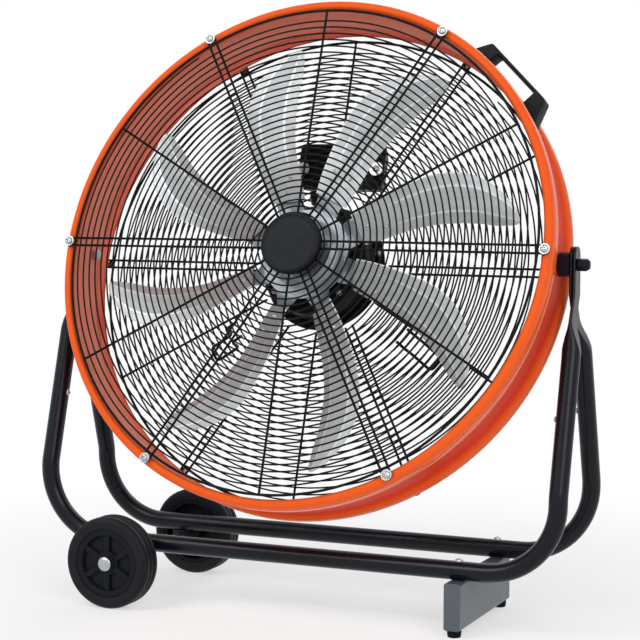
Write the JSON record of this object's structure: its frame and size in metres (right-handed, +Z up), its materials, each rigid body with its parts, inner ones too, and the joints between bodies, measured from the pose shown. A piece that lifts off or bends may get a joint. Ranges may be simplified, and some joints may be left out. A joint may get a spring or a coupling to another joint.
{
  "type": "drum fan",
  "caption": "Wheeled drum fan with spiral wire guards and swept blades, tilting in a bent tube stand with a foot bar.",
  "frame": {"origin": "on the floor, under the middle of the outline", "axes": "+Z up, -Y the way the fan blows, +X along the tilt axis to the foot bar's side"},
  "size_m": [0.6944, 0.295, 0.7432],
  "materials": {
    "drum_paint": "gloss orange enamel",
    "frame_paint": "satin black powder coat",
    "motor_paint": "satin black enamel",
    "guard_wire": "semi-gloss black coating",
    "blade_sheet": "bare rolled sheet",
    "hub_steel": "passivated steel",
    "zinc_steel": "bright zinc plate",
    "black_plastic": "fine grain black",
    "tyre_rubber": "matte black",
    "foot_rubber": "matte black"
  },
  "bodies": {
    "stand": {"upper_tube_right_front": "frame_paint", "upper_tube_right_rear": "frame_paint", "upper_tube_left_front": "frame_paint", "upper_tube_left_rear": "frame_paint", "lower_tube_front": "frame_paint", "axle_bracket_front": "frame_paint", "axle_cap_front": "zinc_steel", "rubber_foot_front": "foot_rubber", "lower_tube_rear": "frame_paint", "axle_bracket_rear": "frame_paint", "axle_cap_rear": "zinc_steel", "rubber_foot_rear": "foot_rubber", "wheel_axle": "zinc_steel", "foot_bar": "frame_paint"},
    "drum": {"drum_shell": "drum_paint", "front_guard_spokes": "guard_wire", "front_guard_spiral": "guard_wire", "front_guard_cap": "black_plastic", "front_guard_screw_1": "zinc_steel", "front_guard_screw_2": "zinc_steel", "front_guard_screw_3": "zinc_steel", "front_guard_screw_4": "zinc_steel", "front_guard_screw_5": "zinc_steel", "front_guard_screw_6": "zinc_steel", "rear_guard_spokes": "guard_wire", "rear_guard_spiral": "guard_wire", "cord_hook_right": "guard_wire", "cord_hook_left": "guard_wire", "motor_front_bell": "motor_paint", "motor_rear_bell": "motor_paint", "control_box": "black_plastic", "cable_gland": "black_plastic", "carrying_handle": "black_plastic", "pivot_bolt_right": "zinc_steel", "pivot_spacer_right": "black_plastic", "pivot_cap_right": "black_plastic", "pivot_bolt_left": "zinc_steel", "pivot_spacer_left": "black_plastic", "pivot_cap_left": "black_plastic"},
    "rotor": {"hub_spider": "hub_steel", "hub_nut": "zinc_steel", "motor_shaft": "zinc_steel", "blade_1": "blade_sheet", "blade_2": "blade_sheet", "blade_3": "blade_sheet", "blade_4": "blade_sheet", "blade_5": "blade_sheet", "blade_6": "blade_sheet", "blade_7": "blade_sheet", "blade_8": "blade_sheet"},
    "knob": {"speed_knob": "black_plastic"},
    "front_wheel": {"tyre_front": "tyre_rubber", "wheel_hub_front": "black_plastic"},
    "rear_wheel": {"tyre_rear": "tyre_rubber", "wheel_hub_rear": "black_plastic"}
  },
  "joints": [
    {"name": "drum_tilt", "type": "hinge", "parent": "stand", "child": "drum", "pos_m": [0, 0.00922, 0.427], "axis": [1, 0, 0], "range_deg": [-71, 109]},
    {"name": "rotor_turn", "type": "hinge", "parent": "drum", "child": "rotor", "pos_m": [0, 0.00922, 0.427], "axis": [0, 0.9455, -0.3256], "continuous": true},
    {"name": "speed_knob_turn", "type": "hinge", "parent": "drum", "child": "knob", "pos_m": [0, 0.12396, 0.53133], "axis": [0, -0.9455, 0.3256], "range_deg": [0, 135]},
    {"name": "front_wheel_turn", "type": "hinge", "parent": "stand", "child": "front_wheel", "pos_m": [-0.2193, -0.10348, 0.0564], "axis": [0, 1, 0], "continuous": true},
    {"name": "rear_wheel_turn", "type": "hinge", "parent": "stand", "child": "rear_wheel", "pos_m": [-0.2193, 0.12192, 0.0564], "axis": [0, 1, 0], "continuous": true}
  ]
}
